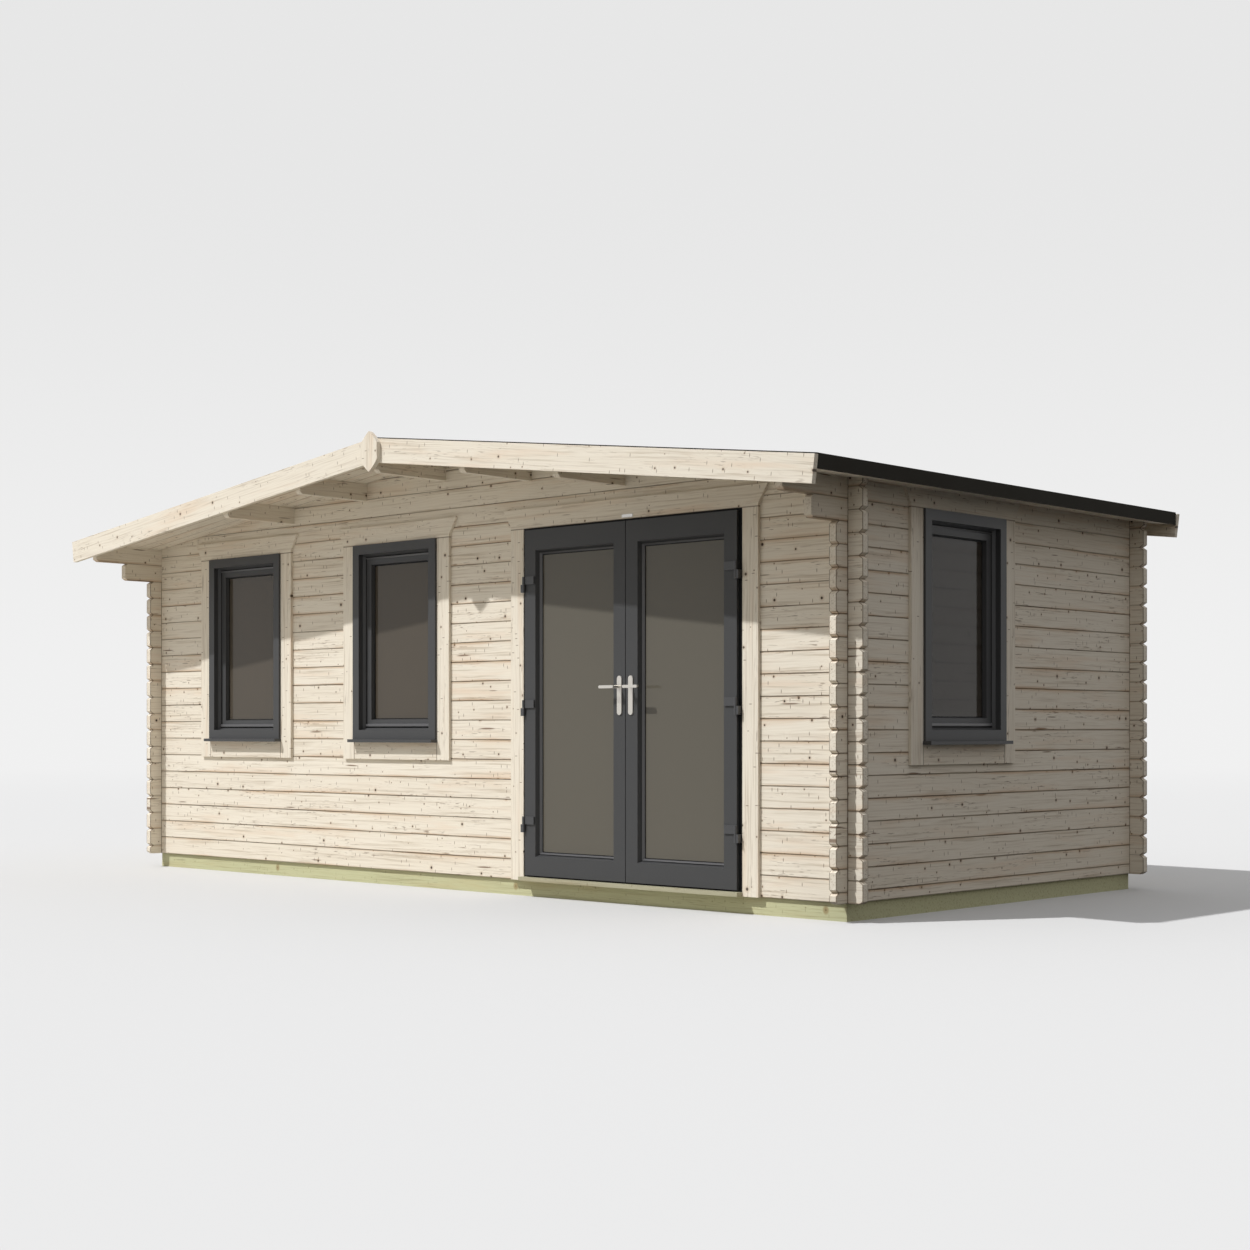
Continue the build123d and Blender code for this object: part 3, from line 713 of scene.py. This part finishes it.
woods = {
    "frontLogs": logMaterial("spruceLogsFront", "x", wallFoot, longReach, backFace, rightFace,
                             noLimit),
    "sideLogs": logMaterial("spruceLogsSide", "y", wallFoot + logHeight / 2, backFace + logEnd,
                            rightFace, backFace, corbelFoot),
    "level": boardMaterial("spruceBoardLevel", "x"),
    "deep": boardMaterial("spruceBoardDeep", "y"),
    "upright": boardMaterial("spruceBoardUpright", "z"),
    "verge": vergeMaterial("spruceVerge", roofSlope),
    "sill": boardMaterial("sillBoard", "x", tint=(0.50, 0.52, 0.43)),
    "soffit": boardMaterial("spruceRoofBoards", "flat", Pitch=0.096, Start=-1.93, Seam=0.0022),
    "floor": boardMaterial("spruceFloorBoards", "flat", tint=(0.97, 0.93, 0.86), Pitch=0.114,
                           Start=-1.37, Seam=0.0016),
    "bearer": bearerMaterial("treatedPine", bearerLook),
}


def trimFor(name, windowFrame, direction):
    low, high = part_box(windowFrame)
    place = 0 if direction == "x" else 1
    centre = (low[place] + high[place]) / 2
    half = (high[place] - low[place]) / 2
    return trimMaterial(name, direction, centre, half, low.z - cillThickness, high.z, trimJointShade)


trims = {
    "left_window_trim": trimFor("trimLeftWindow", "left_window_frame", "x"),
    "middle_window_trim": trimFor("trimMiddleWindow", "middle_window_frame", "x"),
    "side_window_trim": trimFor("trimSideWindow", "side_window_frame", "y"),
    "door_trim": trimMaterial("trimDoor", "x", doorCentre, doorHalf, -noLimit, doorBox[1].z,
                              trimJointShade),
}

finishes = {
    "anthracite": plainMaterial("anthraciteFoil", (0.058, 0.059, 0.061), roughness=0.46,
                                specular=0.30, speckle=0.12, grit=900.0, bump=0.08),
    "doorFoil": plainMaterial("anthraciteDoor", (0.053, 0.054, 0.056), roughness=0.48,
                              specular=0.28, speckle=0.12, grit=900.0, bump=0.08),
    "felt": plainMaterial("roofFelt", (0.017, 0.015, 0.011), roughness=0.9, specular=0.2,
                          speckle=0.45, grit=1400.0, bump=0.6),
    "steel": plainMaterial("satinSteel", (0.66, 0.63, 0.58), roughness=0.36, metallic=0.85,
                           speckle=0.05),
    "hinge": plainMaterial("hingeCoat", (0.052, 0.053, 0.056), roughness=0.36, speckle=0.06),
    # Black rubber for the seals: real gaskets that also act as painted shade in the gaps round
    # sashes and leaves
    "rubber": plainMaterial("gasketRubberAndShade", (0.010, 0.010, 0.010), roughness=0.7, specular=0.2,
                            speckle=0.1),
    # The beads' foil is lighter than the frames' anthracite, which paints a highlight along the
    # beads
    "bead": plainMaterial("beadPaintedHighlight", (0.10, 0.10, 0.105), roughness=0.34, specular=0.6,
                          speckle=0.05),
    "foam": plainMaterial("foamBoard", (0.72, 0.66, 0.46), roughness=0.8, specular=0.2,
                          speckle=0.1),
    "glass": glassMaterial("windowGlass", (0.088, 0.074, 0.057), 0.86, glassLook, farWall=True),
    "doorGlass": glassMaterial("doorGlass", (0.115, 0.105, 0.084), 0.93, glassLook),
    "plate": plainMaterial("silverPlate", (0.78, 0.77, 0.75), roughness=0.35, metallic=0.6),
}
print("materials built")

nodeLooks = {
    "front_wall": woods["frontLogs"], "back_wall": woods["frontLogs"],
    "front_gable": woods["frontLogs"], "back_gable": woods["frontLogs"],
    "left_wall": woods["sideLogs"], "right_wall": woods["sideLogs"],
    "purlins": woods["deep"], "front_bargeboards": woods["verge"],
    "back_bargeboards": woods["verge"], "finials": woods["upright"],
    "left_roof_boards": woods["soffit"], "right_roof_boards": woods["soffit"],
    "roof_battens": woods["level"], "roof_insulation": finishes["foam"],
    "left_roof_felt": finishes["felt"], "right_roof_felt": finishes["felt"],
    "bearers": woods["bearer"], "floor_joists": woods["bearer"],
    "floor_boards": woods["floor"], "door_sill": woods["sill"], **trims,
    "window_glass": finishes["glass"], "left_door_glass": finishes["doorGlass"],
    "right_door_glass": finishes["doorGlass"], "frame_hinges": finishes["hinge"],
    "left_door_hinges": finishes["hinge"], "right_door_hinges": finishes["hinge"],
    "left_handle_plate": finishes["steel"], "right_handle_plate": finishes["steel"],
    "left_lever": finishes["steel"], "right_lever": finishes["steel"],
    "left_door": finishes["doorFoil"], "right_door": finishes["doorFoil"],
}
for nodeName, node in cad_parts.items():
    look = nodeLooks.get(nodeName, finishes["anthracite"])
    if not node.material_slots:
        node.data.materials.append(look)
    for slot in node.material_slots:
        slot.material = look
print("materials set on the frame's pieces")


# Small pieces that the frame doesn't have. Each is a closed mesh with its place in its vertices.
def pieceFrom(name, build, body, material):
    mesh = bpy.data.meshes.new(name)
    shape = bmesh.new()
    build(shape)
    bmesh.ops.recalc_face_normals(shape, faces=shape.faces)
    shape.to_mesh(mesh)
    shape.free()
    mesh.materials.append(material)
    piece = linked(bpy.data.objects.new(name, mesh))
    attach(piece, body)


def addPrism(shape, section, toWorld, start, end):
    # A section of (u, v) points, swept from start to end and placed by toWorld(u, v, run).
    rings = [[shape.verts.new(toWorld(u, v, run)) for u, v in section] for run in (start, end)]
    count = len(section)
    for place in range(count):
        other = (place + 1) % count
        shape.faces.new((rings[0][place], rings[0][other], rings[1][other], rings[1][place]))
    shape.faces.new(rings[0])
    shape.faces.new(list(reversed(rings[1])))


def addRing(shape, section, border, toWorld):
    # A mitred frame: the section is (inward, outward) points, and the border is in wall metres.
    left, right, bottom, top = border
    corners = []
    for x, z, sideX, sideZ in ((left, bottom, 1, 1), (right, bottom, -1, 1), (right, top, -1, -1),
                               (left, top, 1, -1)):
        corners.append([shape.verts.new(toWorld(x + sideX * inward, z + sideZ * inward, out))
                        for inward, out in section])
    count = len(section)
    for place in range(4):
        first = corners[place]
        second = corners[(place + 1) % 4]
        for point in range(count):
            other = (point + 1) % count
            shape.faces.new((first[point], first[other], second[other], second[point]))


def onFront(x, z, out):
    return (x, frontFace - out, z)


def onRight(x, z, out):
    return (rightFace + out, x, z)


def rectangle(low, high, back, front):
    return [(low, back), (high, back), (high, front), (low, front)]


# Window lips, seals and beads: black seals that add painted shade in the gaps, and beads in a
# lighter foil that paints a highlight
windowDetail = {
    "sashDepth": 0.018,            # how far the sash front lies behind the wall's face
    "glassDepth": 0.0443,
    "contact": 0.0003,             # the small steps where a piece meets a solid
    "gap": 0.0002,
    "lip": 0.058,                  # lip, sash edge and ledge lie this far in from the frame's edge
    "lipFront": 0.0006,
    "sashEdge": 0.124,
    "slope": 0.013,
    "sealWidth": 0.005,
    "sealRise": 0.0022,
    "ledgeLow": 0.078,
    "ledgeHigh": 0.096,
    "ledgeRise": 0.010,
    "ledgeSlope": (0.002, 0.004),
    "topBead": 0.009,
    "endGap": 0.001,
}


def buildWindowDetail(label, nodeName, axis, toWorld, look):
    low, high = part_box(nodeName)
    left, right, bottom, top = low[axis], high[axis], low.z, high.z
    border = (left, right, bottom, top)
    sash = -look["sashDepth"] - look["contact"]
    glass = -look["glassDepth"] + look["contact"]
    seal = look["sealWidth"]
    rise = look["sealRise"]
    lip = look["lip"]
    foot = lip + look["slope"]
    edge = look["sashEdge"]
    gap = look["gap"]
    inside = foot + seal + look["endGap"]

    def sealRings(shape):
        addRing(shape, rectangle(foot + gap, foot + seal, sash, sash + rise), border, toWorld)
        addRing(shape, rectangle(edge + 2 * gap, edge + seal, glass, glass + rise), border, toWorld)

    def lipSlope(shape):
        section = [(lip + gap, -look["lipFront"]), (lip + gap, sash), (foot, sash)]
        addRing(shape, section, border, toWorld)

    def beads(shape):
        ledgeLow, ledgeHigh, out = look["ledgeLow"], look["ledgeHigh"], look["ledgeRise"]
        under, over = look["ledgeSlope"]
        ledge = [(ledgeLow, 0.0), (ledgeHigh, 0.0), (ledgeHigh - over, out),
                 (ledgeLow + under, out)]
        addPrism(shape, ledge, lambda u, v, place: toWorld(place, bottom + u, sash + v),
                 left + inside, right - inside)
        bead = look["topBead"]
        strip = [(inside, 0.0), (inside + bead, 0.0), (inside, bead)]
        addPrism(shape, strip, lambda u, v, place: toWorld(place, top - u, sash + v),
                 left + inside, right - inside)

    pieceFrom(label + "_lip", lipSlope, "cabin", finishes["anthracite"])
    pieceFrom(label + "_seals", sealRings, "cabin", finishes["rubber"])
    pieceFrom(label + "_beads", beads, "cabin", finishes["bead"])


for label, nodeName, axis, toWorld in (("left_window", "left_window_frame", 0, onFront),
                                       ("middle_window", "middle_window_frame", 0, onFront),
                                       ("side_window", "side_window_frame", 1, onRight)):
    buildWindowDetail(label, nodeName, axis, toWorld, windowDetail)
print("window lips, seals and beads built")

# Door seals and glazing beads: a black seal on the frame that is painted shade in the gap round the
# leaves, and beads in a lighter foil that paints a highlight
doorDetail = {
    "slope": 0.010,
    "slopeRise": 0.016,
    "sealWidth": 0.004,
    "sealRise": 0.0025,
    "opening": 0.086,
    "topRail": 0.115,
    "bottomRail": 0.108,
    "bead": 0.014,
    "glassDepth": 0.036,
    "contact": 0.0003,
    "gap": 0.0002,
    "frameSealFront": 0.0128,
    "frameSealBack": 0.0102,
    "frameSealInner": 0.0215,
}


def buildDoorSeals(look):
    slope = look["slope"]
    contact = look["contact"]
    gap = look["gap"]
    beadSection = [(contact, gap), (slope, gap), (contact, look["slopeRise"])]
    sealSection = rectangle(slope + contact, slope + look["sealWidth"], gap / 2, look["sealRise"])
    for side in ("left", "right"):
        low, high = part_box(side + "_door")
        inset = look["opening"] + look["bead"]
        border = (low.x + inset, high.x - inset, low.z + look["bottomRail"] + look["bead"],
                  high.z - look["topRail"] - look["bead"])
        glassFront = low.y + look["glassDepth"]
        for label, section, finish in (("_door_bead", beadSection, "bead"),
                                       ("_door_glazing_seal", sealSection, "rubber")):

            def ring(shape, section=section, border=border, glassFront=glassFront):
                addRing(shape, section, border, lambda x, z, out: (x, glassFront - out, z))

            pieceFrom(side + label, ring, side + "_leaf", finishes[finish])

    frameLow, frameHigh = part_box("door_frame")

    # A black strip on the frame behind the leaves' edges, painted shade in the gap round them
    def frameSeal(shape):
        border = (frameLow.x, frameHigh.x, frameLow.z, frameHigh.z)
        section = rectangle(gap, look["frameSealInner"], look["frameSealBack"],
                            look["frameSealFront"])
        addRing(shape, section, border, onFront)

    pieceFrom("door_frame_shade_seal", frameSeal, "cabin", finishes["rubber"])


buildDoorSeals(doorDetail)
print("door seals and beads built")

# The plain plate over the doors
plateLook = {
    "width": 0.080,
    "height": 0.018,
    "thickness": 0.0025,
    "foot": 2.100,                 # above the ground
    "bevel": 0.0008,
    "contact": 0.0001,
}


def buildPlate(look):
    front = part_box("door_trim")[0].y

    def plate(shape):
        half = look["width"] / 2
        low = look["foot"]
        high = low + look["height"]
        bevel = look["bevel"]
        corners = [(-half, low), (half, low), (half, high), (-half, high)]
        inset = [(-half + bevel, low + bevel), (half - bevel, low + bevel),
                 (half - bevel, high - bevel), (-half + bevel, high - bevel)]
        rings = []
        for points, out in ((corners, look["contact"]), (corners, look["thickness"] - bevel),
                            (inset, look["thickness"])):
            rings.append([shape.verts.new((doorCentre + x, front - out, z)) for x, z in points])
        for first, second in zip(rings, rings[1:]):
            for place in range(4):
                other = (place + 1) % 4
                shape.faces.new((first[place], first[other], second[other], second[place]))
        shape.faces.new(rings[0])
        shape.faces.new(list(reversed(rings[-1])))

    pieceFrom("plain_plate", plate, "cabin", finishes["plate"])


buildPlate(plateLook)
print("plate built")
